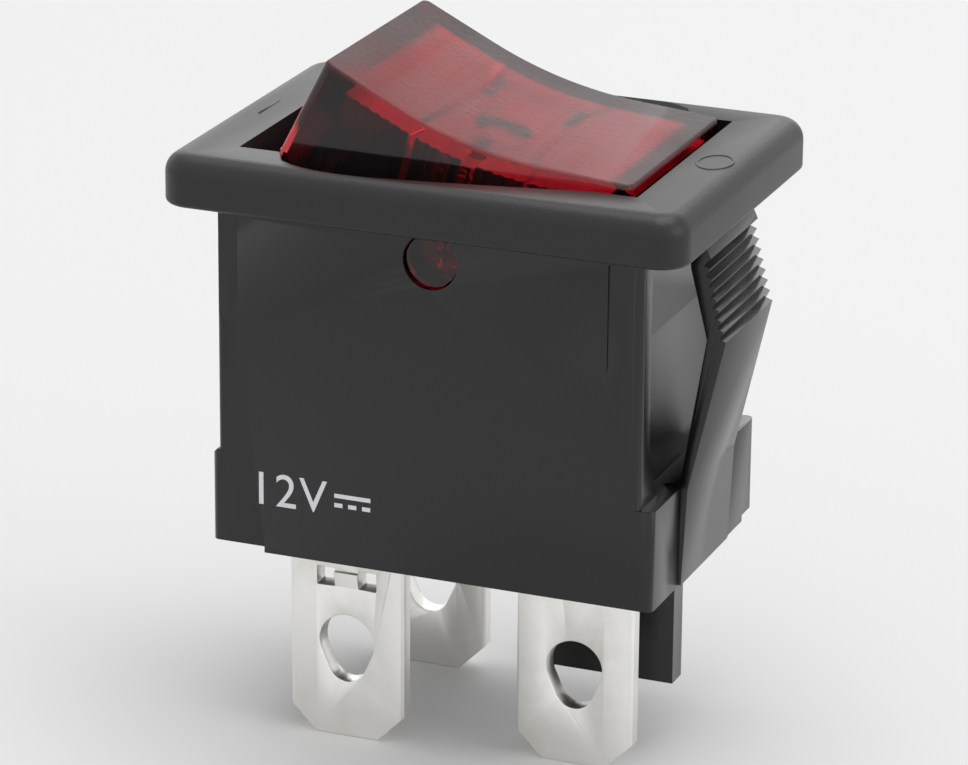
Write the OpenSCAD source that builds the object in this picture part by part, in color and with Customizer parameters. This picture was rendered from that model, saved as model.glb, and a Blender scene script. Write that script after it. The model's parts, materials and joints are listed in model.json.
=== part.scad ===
// Illuminated miniature rocker switch: snap-in, single pole, three tab terminals.
// Millimetres. The origin is the centre of the bezel on the plane of its underside,
// which is the front of the panel. +Z points out of the panel, +X towards the "O" end.
// The rocker is drawn level and then turned to its "O" rest.

/* [Bezel] */
// Length of the bezel, along X
bezel_l = 21; // [20.4:0.1:26]
// Width of the bezel, along Y
bezel_w = 15; // [14:0.1:19]
// Thickness of the bezel
bezel_t = 2; // [1.6:0.1:2.6]
// Radius of the bezel's corners in plan
bezel_corner_r = 1.2; // [0.9:0.1:2]
// Radius of the bezel's upper edge
bezel_edge_r = 0.8; // [0.4:0.05:0.85]
// Radius of the bezel's lower edge
bezel_foot_r = 0.2; // [0.1:0.05:0.4]
// Length of the opening that the rocker works in
opening_l = 16; // [15.9:0.1:16.6]
// Width of the opening
opening_w = 10.6; // [10.5:0.05:10.9]
// Length of the finger scoop in each long rail
scoop_l = 12.7; // [8:0.1:13]
// How far the scoop reaches into the rail
scoop_reach = 1.65; // [0.6:0.05:1.65]

/* [Body] */
// Length of the body behind the panel, over its corner posts
body_l = 17.3; // [17.2:0.1:19]
// How far the body stands off the middle of the bezel, along X
body_shift = -0.15; // [-0.2:0.05:0]
// Width of the body
body_w = 11.6; // [11.6:0.1:13]
// Depth of the body behind the panel
body_h = 14.1; // [13.6:0.1:18]
// Length over the thicker blocks at the foot of the body
foot_l = 18.1; // [18:0.1:19.4]
// Height of the foot blocks
foot_h = 4; // [3.2:0.1:5]
// Radius of the body's upright edges
body_edge_r = 0.3; // [0.15:0.05:0.5]
// Thickness of the long walls below the rocker
wall_t = 0.9; // [0.7:0.05:1.1]
// Thickness of the floor that the terminals pass through
floor_t = 1.5; // [1.2:0.1:2.5]
// Length of the barrier fin under the floor
fin_l = 5.9; // [4:0.1:8]
// Thickness of the barrier fin
fin_t = 1; // [0.7:0.1:1.4]
// Drop of the barrier fin below the floor
fin_drop = 5.1; // [3:0.1:7]

/* [Clips] */
// Width of each snap-in arm
arm_w = 5.4; // [4:0.1:6]
// How far the arm at the "O" end stands out at its widest, from the centre plane
arm_reach = 10.68; // [10.4:0.02:11]
// How far the arm at the "I" end stands out
arm_reach_i = 10.1; // [10:0.02:11]
// Number of ratchet teeth on each arm
teeth = 8; // [4:1:10]
// Pitch of the teeth
tooth_pitch = 0.4; // [0.3:0.02:0.42]
// Depth of the teeth
tooth_d = 0.26; // [0.15:0.01:0.3]
// Thickness of the arm
arm_t = 0.75; // [0.55:0.05:0.85]

/* [Rocker] */
// Tilt of the rocker at each end of its travel
rocker_tilt = 15.5; // [8:0.5:15.5]
// Depth of the rocker's axle below the panel
pivot_drop = 1.4; // [1.3:0.05:1.7]
// Radius of the rocker's stub axles
trunnion_r = 1.03; // [0.8:0.01:1.2]
// Running gap between the stub axles and their holes
trunnion_gap = 0.07; // [0.03:0.01:0.1]
// Half length of the rocker's top, between its two high edges
crown_x = 6.39; // [6:0.01:6.4]
// Height of the middle of the dished top when the rocker is level
dish_z = 3.25; // [2.9:0.01:3.4]
// Radius of the dish between the two flats
dish_r = 16.7; // [12:0.1:22]
// Draft of the rocker's end walls
end_draft = 11; // [6:0.5:11]
// Draft of the rocker's long walls
side_draft = 2.3; // [0:0.1:4]
// Thickness of the rocker's top
lens_top_t = 0.95; // [0.7:0.05:1.2]
// Thickness of the rocker's end walls
lens_end_t = 1.2; // [0.8:0.05:1.5]
// Thickness of the rocker's long walls
lens_side_t = 1; // [0.8:0.05:1.1]
// Pitch of the upright flutes inside the long walls
flute_pitch = 0.44; // [0.35:0.01:0.8]
// Depth of the flutes
flute_d = 0.2; // [0.1:0.01:0.3]

/* [Terminals] */
// Width of the tabs
tab_w = 4.8; // [4:0.1:5]
// Thickness of the tabs
tab_t = 0.8; // [0.5:0.1:0.9]
// Reach of the tabs below the floor
tab_drop = 7.8; // [6:0.1:10]
// Width of the hole in each tab
tab_hole_w = 2.3; // [1.4:0.1:2.6]
// Height of the hole in each tab
tab_hole_h = 2.8; // [2.8:0.1:3.4]
// Width of the hole's narrow lower end, as a share of its full width
tab_hole_taper = 0.7; // [0.6:0.05:1]
// Size of the chamfers at the tip of each tab
tab_chamfer = 1.1; // [0.6:0.1:1.4]
// Places of the supply tab's middle, along X and Y
supply_at = [-4, -4]; // [-4.2:0.1:-3.7]
// Places of the load tab's middle, along X and Y
load_at = [5.1, -3]; // [-4:0.1:5.3]
// Places of the lamp tab's middle, along X and Y
lamp_at = [-3.8, 4]; // [-4:0.1:4.1]

/* [Contacts] */
// Width of the see-saw contact strip
strip_w = 2; // [1.6:0.1:2.2]
// Thickness of the see-saw contact strip
strip_t = 0.4; // [0.3:0.05:0.5]
// Rise of the strip's wings from the fulcrum
wing_rise = 15; // [14:0.5:16]
// Tilt of the strip at each end of its travel
strip_tilt = 8; // [6:0.5:8]
// Height of the fulcrum below the panel
fulcrum_drop = 9.8; // [9.8:0.05:10]
// Radius of the contact rivets' heads
rivet_r = 1; // [0.7:0.05:1.1]
// Height of the contact rivets' heads
rivet_h = 0.45; // [0.3:0.05:0.5]

/* [Plunger and lamp] */
// Radius of the plunger
plunger_r = 0.75; // [0.6:0.01:0.8]
// Gap between the plunger and its tube
plunger_gap = 0.05; // [0.03:0.01:0.1]
// Wall of the plunger's tube
tube_wall = 0.35; // [0.3:0.05:0.4]
// Distance from the rocker's axle to the centre of the plunger's round tip
plunger_l = 7.06; // [6:0.01:7.06]
// Wire radius of the plunger's spring
spring_wire_r = 0.1; // [0.06:0.01:0.12]
// Number of turns in the plunger's spring
spring_turns = 9; // [6:1:12]
// Radius of the lamp's round body
led_r = 1.5; // [1.2:0.1:1.5]
// Radius of the lamp's leads
lead_r = 0.25; // [0.15:0.05:0.3]

/* [Hidden] */
eps = 0.01;
fine = 96;
// Clearances
seat_gap = 0.05;
touch_gap = 0.03;
// Levels
pivot_z = -pivot_drop;
foot_top = foot_h - body_h;
floor_z = floor_t - body_h;
tip_z = -body_h - tab_drop;
fulcrum_z = -fulcrum_drop;
// Row in which the plunger, the strip and the contacts work
switch_y = -1.3;
// Rows and clearances of the terminals
slot_gap = 0.03;
half_tab = tab_t / 2;
supply_window_drop = 0.8;
load_window_drop = 0.25;
lamp_window_drop = 0.8;
// Bezel
cx = bezel_l / 2 - bezel_corner_r;
cy = bezel_w / 2 - bezel_corner_r;
scoop_slope = 50;
scoop_steps = 24;
// Body
chamber_r = 7.75;
chamber_w = opening_w;
chamber_z = pivot_z - 3;
room_l = 14;
room_w = body_w - 2 * wall_t;
recess_w = 9.7;
band_x = chamber_r + 0.5;
band_h = 3.7;
recess_x = 7.9;
step_h = 0.23;
// Curve by which each flank of an arm's recess thickens towards the foot: inset, height
flank = [[0, 2.6], [0.26, 1.6], [0.54, 1], [0.78, 0.4], [0.95, 0]];
// Shallow strips beside the corners of a long side: spans, depth, height and slope of the lower end
strip_spans = [[-9.2, -7.9], [7.1, 8.1]];
strip_recess_d = 0.12;
strip_recess_z = [-0.6, -4.9];
strip_slope = 0.4;
foot_notch = [2.2, 1.2, 0.25];
fin_x = 2.2;
// Clip arms: heights of the tooth tips, and the line that the tips lie on
arm_top_gap = 0.45;
arm_lip_h = 0.45;
arm_wide_z = -(arm_top_gap + arm_lip_h + teeth * tooth_pitch);
tooth_lean = 0.25;
tooth_ledge = 0.09;
fold_x = foot_l / 2 + 0.25;
fold_t = 0.3;
fold_z = foot_top - 0.1;
arm_root_x = foot_l / 2 - 1;
arm_slot = 0.2;
arm_slot_x = foot_l / 2 - 0.35;
// Rocker
lens_foot_z = pivot_z - 0.6;
lens_foot_w = opening_w - 0.3;
lens_edge_r = 0.25;
flat_angle = 10.5;
flat_x = dish_r * sin(flat_angle) + 0.05;
ear_r = 1.5;
ear_t = 0.9;
trunnion_end_y = body_w / 2 - 0.2;
bore_end_y = trunnion_end_y + 0.05;
hole_flat_z = -0.5;
// Plunger, spring and tube, in the rocker's level frame
tip_centre_z = pivot_z - plunger_l;
tube_r = plunger_r + plunger_gap + tube_wall;
tube_foot_z = pivot_z - 4.2;
plunger_top_z = pivot_z - 2.5;
spigot_r = 0.38;
spigot_h = 0.8;
spring_top_z = 1.5;
spring_r = spigot_r + spring_wire_r + 0.06;
spring_sides = 6;
spring_rings = 14;
web_t = 0.6;
// Lamp
led_y = 1.9;
led_foot_z = pivot_z - 1.4;
led_flange_r = led_r + 0.1;
led_flange_h = 0.9;
led_top_z = 1.9;
rib_t = 0.45;
rib_w = 2;
resistor_r = 0.8;
resistor_l = 2.8;
resistor_x = 2.65;
resistor_z = -0.5;
lead_x = 0.635;
lead_bend_r = 0.45;
lead_sides = 8;
wiper_z = pivot_z - 4;
// Strip
strip_bead_r = 0.4;
wing_l = 3.4;
strip_bend_x = 2.6;
strip_end_x = 6.1;
rivet_x = 5.1;
rivet_shank_r = 0.6;
rivet_tail_r = 0.8;
rivet_tail_h = 0.2;
stop_x = [-3.5, -2.9];
// The pad lies level when the strip is on
pad_base_z = strip_bend_x * tan(wing_rise);
rivet_base_z = pad_base_z + (rivet_x - strip_bend_x) * tan(strip_tilt);
on_x = rivet_x * cos(strip_tilt) + rivet_base_z * sin(strip_tilt);
on_z = fulcrum_z - rivet_x * sin(strip_tilt) + rivet_base_z * cos(strip_tilt);
shelf_z = on_z - 2 * rivet_h - touch_gap;
stop_z = fulcrum_z - stop_x[1] * tan(wing_rise - strip_tilt) - touch_gap;
// Inner parts of the terminals
tongue_w = 2.4;
tongue_top = fulcrum_z - 0.1;
tongue_y = switch_y + strip_w / 2;
arm_foot_z = floor_z + 0.3;
finger_top = pivot_z - 2.8;
shelf_x = [on_x - 1.2, on_x + 1.2];

// The height of the flats of the rocker's top at a distance from its middle
function flat_z(x) = dish_z + dish_r * (1 - cos(flat_angle))
                   + (x - dish_r * sin(flat_angle)) * tan(flat_angle);
crown_top = flat_z(crown_x);
// Half sizes of the rocker at a height
function end_x(z) = crown_x + (crown_top - z) * tan(end_draft);
function side_y(z) = lens_foot_w / 2 - (z - lens_foot_z) * tan(side_draft);
function unit(v) = v / norm(v);
// A route whose corners are rounded by a curve that starts at a distance r from each
function rounded(p, r) = [p[0], for (i = [1:len(p) - 2], k = [0:4])
    p[i] + r * (pow(1 - k / 4, 2) * unit(p[i - 1] - p[i]) + pow(k / 4, 2) * unit(p[i + 1] - p[i])),
    p[len(p) - 1]];
function heading(p, i) = unit(p[min(i + 1, len(p) - 1)] - p[max(i - 1, 0)]);
function ring(p, t, up, r, n) = let (a = unit(cross(t, up)), b = cross(t, a))
    [for (k = [0:n - 1]) p + r * (cos(360 * k / n) * a + sin(360 * k / n) * b)];

// ---- shapes used by several pieces ----
// A flat outline in X and Z, drawn out along Y
module along_y(y0, y1) {
  translate([0, y1, 0]) rotate([90, 0, 0]) linear_extrude(y1 - y0) children();
}

// A flat outline in Y and Z, drawn out along X
module along_x(x0, x1) {
  translate([x0, 0, 0]) rotate([90, 0, 90]) linear_extrude(x1 - x0) children();
}

// A rectangle with round corners
module round_rect(l, w, r) {
  square([l - 2 * r, w], center = true);
  square([l, w - 2 * r], center = true);
  for (x = [-1, 1], y = [-1, 1])
    translate([x * (l / 2 - r), y * (w / 2 - r)]) circle(r, $fn = fine);
}

// What is left of a square corner outside its round
module corner_waste(r) {
  difference() {
    square(r + eps);
    circle(r, $fn = fine);
  }
}

// A round wire along a route
module wire(path, r, n, up) {
  m = len(path);
  points = [for (i = [0:m - 1]) each ring(path[i], heading(path, i), up, r, n)];
  sides = [for (i = [0:m - 2], k = [0:n - 1])
    [i * n + k, i * n + (k + 1) % n, (i + 1) * n + (k + 1) % n, (i + 1) * n + k]];
  polyhedron(points, concat([[for (k = [n - 1:-1:0]) k]], sides,
    [[for (k = [0:n - 1]) (m - 1) * n + k]]));
}

// Turns what belongs to the rocker to its rest
module tilted() {
  translate([0, 0, pivot_z]) rotate([0, rocker_tilt, 0]) translate([0, 0, -pivot_z]) children();
}

// Turns what belongs to the see-saw strip to its rest
module strip_tilted() {
  translate([0, switch_y, fulcrum_z]) rotate([0, -strip_tilt, 0]) children();
}

// ---- housing ----
// Section of the bezel's rim, outwards from the centre of a corner
module rim_section() {
  difference() {
    square([bezel_corner_r, bezel_t]);
    translate([bezel_corner_r - bezel_edge_r, bezel_t - bezel_edge_r]) corner_waste(bezel_edge_r);
    translate([bezel_corner_r - bezel_foot_r, bezel_foot_r]) mirror([0, 1]) corner_waste(bezel_foot_r);
  }
}

module bezel_plate() {
  translate([-cx, -cy, 0]) cube([2 * cx, 2 * cy, bezel_t]);
  for (turn = [0, 180]) rotate(turn) {
    translate([cx, 0, 0]) along_y(-cy, cy) rim_section();
    translate([0, cy, 0]) rotate(90) along_y(-cx, cx) rim_section();
    translate([cx, cy, 0]) rotate_extrude(angle = 90, $fn = fine) rim_section();
    translate([-cx, cy, 0]) rotate(90) rotate_extrude(angle = 90, $fn = fine) rim_section();
  }
}

// Finger relief in a long rail: steep at its left end, with a long gentle right end
module scoop() {
  crest = [for (i = [0:scoop_steps]) let (t = i / scoop_steps)
    [scoop_l * (t - 0.5), -opening_w / 2 - scoop_reach * sin(180 * sqrt(t))]];
  drop = bezel_t * cos(scoop_slope);
  rotate([90 - scoop_slope, 0, 0]) translate([0, 0, opening_w / 2 * cos(scoop_slope) - 0.5])
    linear_extrude(6) polygon(concat([for (p = crest) [p[0], p[1] * sin(scoop_slope) + drop]],
      [[scoop_l / 2, 0], [-scoop_l / 2, 0]]));
}

module body_block() {
  translate([body_shift, 0, -body_h]) linear_extrude(body_h)
    round_rect(body_l, body_w, body_edge_r);
  intersection() {
    translate([0, 0, -body_h]) linear_extrude(foot_h) round_rect(foot_l, body_w, body_edge_r);
    along_y(-body_w, body_w)
      polygon([[-foot_l, -body_h], [foot_l, -body_h], [foot_l, foot_top],
        [step_h - foot_l / 2, foot_top], [-foot_l, foot_top - foot_l / 2 - step_h]]);
  }
}

// Snap-in arm at the +X end: a ratchet of saw teeth over a thin fold at its root
module clip_arm(reach) {
  tips = [for (k = [0:teeth - 1])
    [reach - tooth_lean * tooth_pitch * k, arm_wide_z + tooth_pitch * k]];
  top_x = reach - tooth_lean * tooth_pitch * (teeth - 1);
  along_y(-arm_w / 2, arm_w / 2)
    polygon(concat(
      [[arm_root_x, -body_h], [foot_l / 2 + 0.07, -body_h], [fold_x, fold_z]],
      [for (p = tips) each [p, p + [-tooth_d, tooth_ledge]]],
      [[top_x + 0.02, -arm_top_gap - arm_lip_h], [top_x - 0.18, -arm_top_gap],
        [top_x - arm_t - 0.05, -arm_top_gap], [top_x - arm_t, -arm_top_gap - 2 * arm_lip_h],
        [reach - arm_t, arm_wide_z], [fold_x - fold_t, fold_z + fold_t],
        [arm_root_x, fold_z + fold_t - 0.25]]));
}

// Hollow for the arm in an end of the body
module arm_recess() {
  half = recess_w / 2;
  side = [for (p = concat([[0, -foot_top - band_h + eps]], flank)) [half - p[0], foot_top + p[1]]];
  translate([band_x, -half, -band_h]) cube([foot_l, recess_w, band_h]);
  along_x(recess_x, recess_x + foot_l)
    polygon(concat(side, [for (i = [len(side) - 1:-1:0]) [-side[i][0], side[i][1]]]));
  for (side = [-1, 1])
    translate([arm_slot_x, side * (arm_w / 2 + arm_slot / 2) - arm_slot / 2, -body_h - 1])
      cube([foot_l, arm_slot, foot_h + 1]);
}

// Shallow strips beside the corners of a long side
module corner_strips() {
  y = body_w / 2;
  for (span = strip_spans)
    along_x(-span[1], -span[0])
      polygon([[y - strip_recess_d, strip_recess_z[0]], [y + 1, strip_recess_z[0]],
        [y + 1, strip_recess_z[1]], [y, strip_recess_z[1]],
        [y - strip_recess_d, strip_recess_z[1] + strip_slope]]);
}

// Bearing hole with the flat shutter over its outer end
module pivot_hole() {
  r = trunnion_r + trunnion_gap;
  translate([0, 0, pivot_z]) rotate([-90, 0, 0]) cylinder(h = bore_end_y, r = r, $fn = fine);
  intersection() {
    translate([0, 0, pivot_z]) rotate([-90, 0, 0]) cylinder(h = body_w, r = r, $fn = fine);
    translate([-r - 1, 0, pivot_z - 2 * r]) cube([2 * r + 2, body_w, hole_flat_z - pivot_z + 2 * r]);
  }
}

module tab_slot(at) {
  translate([at[0] - tab_w / 2 - slot_gap, at[1] - half_tab - slot_gap, -body_h - 1])
    cube([tab_w + 2 * slot_gap, tab_t + 2 * slot_gap, floor_t + 2]);
}

module housing() color("#2b2b2e") {
  difference() {
    union() {
      bezel_plate();
      body_block();
    }
    // Opening, rocker chamber and contact room
    translate([-opening_l / 2, -opening_w / 2, -eps]) cube([opening_l, opening_w, bezel_t + 1]);
    translate([-chamber_r, -chamber_w / 2, pivot_z]) cube([2 * chamber_r, chamber_w, -pivot_z + eps]);
    intersection() {
      translate([0, chamber_w / 2, pivot_z]) rotate([90, 0, 0])
        cylinder(h = chamber_w, r = chamber_r, $fn = fine);
      translate([-chamber_r, -chamber_w, chamber_z])
        cube([2 * chamber_r, 2 * chamber_w, pivot_z - chamber_z + eps]);
    }
    translate([-room_l / 2, -room_w / 2, floor_z]) cube([room_l, room_w, chamber_z - floor_z + eps]);
    for (turn = [0, 180]) rotate(turn) {
      scoop();
      arm_recess();
      corner_strips();
      pivot_hole();
      translate([-foot_l / 2 - 1, -body_w / 2 - 1, -body_h - 1])
        cube([foot_notch[0] + 1, foot_notch[1] + 1, foot_notch[2] + 1]);
    }
    for (at = [supply_at, load_at, lamp_at]) tab_slot(at);
  }
  clip_arm(arm_reach);
  rotate(180) clip_arm(arm_reach_i);
  translate([fin_x, -fin_t / 2, -body_h - fin_drop]) cube([fin_l, fin_t, fin_drop + eps]);
  // Stop under the strip's free wing
  translate([stop_x[0], tongue_y - strip_w, floor_z - eps])
    cube([stop_x[1] - stop_x[0], strip_w, stop_z - floor_z + eps]);
}

// ---- rocker ----
// Everything above the rocker's dished top
module above_top() {
  reach = 2 * crown_x;
  along_y(-bezel_w, bezel_w) {
    polygon([[-reach, flat_z(reach)], [-flat_x, flat_z(flat_x)], [flat_x, flat_z(flat_x)],
      [reach, flat_z(reach)], [reach, 3 * crown_top], [-reach, 3 * crown_top]]);
    translate([0, dish_z + dish_r]) circle(dish_r, $fn = 4 * fine);
  }
}

module lens_block() {
  hull() for (x = [-1, 1], y = [-1, 1], z = [lens_foot_z, crown_top + 0.5])
    translate([x * (end_x(z) - lens_edge_r), y * (side_y(z) - lens_edge_r), z])
      cylinder(h = eps, r = lens_edge_r, $fn = 32);
}

// Inside of the lens: drafted ends, fluted long sides, a roof that follows the top
module lens_cavity() {
  inner_y = side_y(0) - lens_side_t;
  flutes = ceil(2 * end_x(lens_foot_z) / flute_pitch);
  row = [for (i = [-flutes:flutes]) [i * flute_pitch / 2, inner_y + flute_d * abs(i % 2)]];
  foot = lens_foot_z - 1;
  difference() {
    intersection() {
      translate([0, 0, foot]) linear_extrude(crown_top - foot)
        polygon(concat(row, [for (p = row) -p]));
      along_y(-lens_foot_w, lens_foot_w)
        polygon([[lens_end_t - end_x(foot), foot], [end_x(foot) - lens_end_t, foot],
          [end_x(crown_top) - lens_end_t, crown_top], [lens_end_t - end_x(crown_top), crown_top]]);
    }
    translate([0, 0, -lens_top_t]) above_top();
  }
}

// Stub axle on its rounded ear
module trunnion() {
  translate([0, side_y(0) - lens_side_t, pivot_z]) rotate([-90, 0, 0]) {
    cylinder(h = ear_t, r = ear_r, $fn = fine);
    cylinder(h = trunnion_end_y - side_y(0) + lens_side_t, r = trunnion_r, $fn = fine);
  }
}

module plunger_tube() {
  roof = dish_z - lens_top_t / 2;
  difference() {
    union() {
      translate([0, switch_y, tube_foot_z]) cylinder(h = roof - tube_foot_z, r = tube_r, $fn = fine);
      translate([-web_t / 2, -side_y(0) + lens_side_t / 2, lens_foot_z])
        cube([web_t, side_y(0) + switch_y - lens_side_t / 2 - plunger_r, roof - lens_foot_z]);
    }
    translate([0, switch_y, tube_foot_z - 1])
      cylinder(h = spring_top_z - tube_foot_z + 1, r = plunger_r + plunger_gap, $fn = fine);
  }
}

module rocker() color("#d5283c") tilted() {
  difference() {
    lens_block();
    above_top();
    lens_cavity();
  }
  for (turn = [0, 180]) rotate(turn) trunnion();
  plunger_tube();
  // Ribs that hold the lamp
  for (side = [-1, 1])
    translate([side * (led_r + seat_gap + rib_t / 2) - rib_t / 2, led_y - rib_w / 2,
      led_foot_z + led_flange_h + seat_gap])
      cube([rib_t, rib_w, dish_z - lens_top_t / 2 - led_foot_z - led_flange_h]);
}

// ---- terminals ----
// Outline of the hole in a tab: a wide round above a narrower one, joined by their tangents
module egg_hole() {
  wide = tab_hole_w / 2;
  narrow = wide * tab_hole_taper;
  high = tab_hole_h / 2 - wide;
  low = narrow - tab_hole_h / 2;
  lean = asin((wide - narrow) / (high - low));
  translate([0, high]) circle(wide, $fn = fine);
  translate([0, low]) circle(narrow, $fn = fine);
  polygon([[wide * cos(lean), high - wide * sin(lean)], [-wide * cos(lean), high - wide * sin(lean)],
    [-narrow * cos(lean), low - narrow * sin(lean)], [narrow * cos(lean), low - narrow * sin(lean)]]);
}

// Outside part of a tab: chamfered tip, hole, two windows and a shallow dimple between them
module tab(at, window_drop) {
  w = tab_w / 2;
  bevel = 0.12;
  dimple = 0.15;
  window = [0.5, 1.25, 0.75];
  window_top = -body_h - window_drop;
  hole_z = tip_z + 3.7;
  translate([at[0], at[1], 0]) {
    difference() {
      intersection() {
        along_y(-half_tab, half_tab)
          polygon([[-w, floor_z], [-w, tip_z + tab_chamfer], [tab_chamfer - w, tip_z],
            [w - tab_chamfer, tip_z], [w, tip_z + tab_chamfer], [w, floor_z]]);
        translate([0, 0, tip_z]) linear_extrude(floor_z - tip_z)
          polygon([for (s = [[1, 1], [-1, 1], [-1, -1], [1, -1]], e = s[0] * s[1] > 0 ? [0, 1] : [1, 0])
            [s[0] * (w - (e == 0 ? 0 : bevel)), s[1] * (half_tab - (e == 0 ? bevel : 0))]]);
      }
      along_y(-tab_t, tab_t) translate([0, hole_z]) egg_hole();
      for (side = [-1, 1])
        translate([side * (window[0] + window[1]) / 2 - window[2] / 2, -tab_t, window_top - window[2]])
          cube([window[2], 2 * tab_t, window[2]]);
    }
    along_x(-window[0], window[0])
      polygon([[-half_tab + 0.1, window_top - window[2]], [-half_tab, window_top - window[2]],
        [-half_tab - dimple, window_top - 0.1], [-half_tab + 0.1, window_top - 0.1]]);
  }
}

// A flat strap in the plane of a terminal, from one corner to the other
module strap(at, from, to) {
  translate([from[0], at[1] - half_tab, from[1]]) cube([to[0] - from[0], tab_t, to[1] - from[1]]);
}

// A strap's end bent inwards over its full thickness, its upper face at a given height
module bent_shelf(at, x0, x1, end_y, top) {
  along_x(x0, x1) {
    translate([at[1] + half_tab, top - tab_t]) {
      intersection() {
        circle(tab_t, $fn = fine);
        translate([-tab_t, 0]) square(tab_t);
      }
      square([end_y - at[1] - half_tab, tab_t]);
    }
  }
}

module supply_terminal() color("#c9cbd0") {
  tab(supply_at, supply_window_drop);
  strap(supply_at, [supply_at[0] - tab_w / 2 + 0.3, floor_z - eps],
    [supply_at[0] + tab_w / 2, tongue_top - tab_t]);
  strap(supply_at, [supply_at[0] + tab_w / 2 - eps, arm_foot_z], [tongue_w / 2, tongue_top - tab_t]);
  difference() {
    bent_shelf(supply_at, -tongue_w / 2, tongue_w / 2, tongue_y, tongue_top);
    translate([0, tongue_y + 1, fulcrum_z]) rotate([90, 0, 0])
      cylinder(h = strip_w + 1.5, r = strip_bead_r + touch_gap, $fn = fine);
  }
}

module load_terminal() color("#c9cbd0") {
  inner_x = room_l / 2 - 0.2;
  finger_x = [1.6, 3.8];
  wiper_x = 0.3;
  tab(load_at, load_window_drop);
  strap(load_at, [load_at[0] - tab_w / 2, floor_z - eps], [inner_x, arm_foot_z + 0.4]);
  strap(load_at, [finger_x[0], arm_foot_z], [finger_x[1], finger_top]);
  strap(load_at, [wiper_x, finger_top - 2.4], [finger_x[0] + eps, finger_top]);
  strap(load_at, [shelf_x[0], floor_z], [shelf_x[1], shelf_z - tab_t]);
  difference() {
    bent_shelf(load_at, shelf_x[0], shelf_x[1], switch_y + 0.9, shelf_z);
    translate([on_x, switch_y, shelf_z - 2]) cylinder(h = 3, r = rivet_shank_r + touch_gap, $fn = fine);
  }
}

module lamp_terminal() color("#c9cbd0") {
  half_finger = 2;
  tab(lamp_at, lamp_window_drop);
  strap(lamp_at, [lamp_at[0] - tab_w / 2 + 0.3, floor_z - eps],
    [lamp_at[0] + tab_w / 2, arm_foot_z + 1.2]);
  strap(lamp_at, [-half_finger, arm_foot_z], [half_finger, finger_top]);
}

// ---- contacts ----
module seesaw_contact() color("#b8703f") strip_tilted() {
  rise = tan(wing_rise);
  t = strip_t / cos(wing_rise);
  end_z = pad_base_z + (strip_end_x - strip_bend_x) * tan(strip_tilt);
  difference() {
    along_y(-strip_w / 2, strip_w / 2) {
      polygon([[-wing_l, wing_l * rise], [0, 0], [strip_bend_x, pad_base_z], [strip_end_x, end_z],
        [strip_end_x, end_z + t], [strip_bend_x, pad_base_z + t], [0, t], [-wing_l, wing_l * rise + t]]);
      circle(strip_bead_r, $fn = fine);
    }
    rivet_place() translate([0, 0, -1]) cylinder(h = 3, r = rivet_shank_r + touch_gap, $fn = fine);
  }
}

// The seat of the moving rivet on the underside of the strip's pad
module rivet_place() {
  translate([rivet_x, 0, rivet_base_z]) rotate([0, -strip_tilt, 0]) children();
}

// A contact rivet through a sheet: a faced head below, a shank and a peened tail above
module rivet(sheet_t) {
  edge = 0.1;
  rotate_extrude($fn = fine)
    polygon([[0, -rivet_h], [rivet_r - 2 * edge, -rivet_h], [rivet_r, -rivet_h + edge], [rivet_r, 0],
      [rivet_shank_r, 0], [rivet_shank_r, sheet_t], [rivet_tail_r, sheet_t],
      [rivet_tail_r - edge, sheet_t + rivet_tail_h], [0, sheet_t + rivet_tail_h]]);
}

module moving_contact_rivet() color("#d8d4c6") strip_tilted() {
  rivet_place() rivet(strip_t / cos(wing_rise) * cos(strip_tilt));
}

module fixed_contact_rivet() color("#d8d4c6") {
  translate([on_x, switch_y, shelf_z]) rotate([180, 0, 0]) rivet(tab_t);
}

// ---- plunger and spring ----
module plunger() color("#e8e6df") tilted() {
  translate([0, switch_y, 0]) rotate_extrude($fn = fine) {
    intersection() {
      translate([0, tip_centre_z]) circle(plunger_r, $fn = fine);
      translate([0, tip_centre_z - 2 * plunger_r]) square([2 * plunger_r, 2 * plunger_r]);
    }
    translate([0, tip_centre_z]) square([plunger_r, plunger_top_z - tip_centre_z]);
    translate([0, plunger_top_z - eps]) square([spigot_r, spigot_h]);
  }
}

module plunger_spring() color("#8d9096") tilted() {
  foot = plunger_top_z + spring_wire_r + seat_gap;
  top = spring_top_z - spring_wire_r - seat_gap;
  steps = spring_turns * spring_rings;
  path = [for (i = [0:steps]) [spring_r * cos(360 * i / spring_rings),
    switch_y + spring_r * sin(360 * i / spring_rings), foot + (top - foot) * i / steps]];
  wire(path, spring_wire_r, spring_sides, [0, 0, 1]);
}

// ---- lamp ----
module led_lamp() color("#ff6a5a") tilted() {
  translate([0, led_y, 0]) rotate_extrude($fn = fine) {
    translate([0, led_foot_z]) square([led_flange_r, led_flange_h]);
    translate([0, led_foot_z]) square([led_r, led_top_z - led_r - led_foot_z]);
    intersection() {
      translate([0, led_top_z - led_r]) circle(led_r, $fn = fine);
      translate([0, led_top_z - led_r]) square(led_r);
    }
  }
}

module led_cathode_lead() color("#b9bbbf") tilted() {
  rub_y = lamp_at[1] - half_tab - lead_r - 0.02;
  bend_z = led_foot_z - 0.8;
  wire(rounded([[-lead_x, led_y, led_foot_z], [-lead_x, led_y, bend_z], [-lead_x, rub_y, bend_z],
    [-lead_x, rub_y, wiper_z]], lead_bend_r), lead_r, lead_sides, [1, 0, 0]);
}

module led_anode_lead() color("#b9bbbf") tilted() {
  up_x = resistor_x - lead_r - seat_gap;
  wire(rounded([[lead_x, led_y, led_foot_z], [lead_x, led_y, led_foot_z - 0.7],
    [up_x, led_y, led_foot_z - 0.7], [up_x, led_y, resistor_z + lead_r]], lead_bend_r),
    lead_r, lead_sides, [0, 1, 0]);
}

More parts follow.
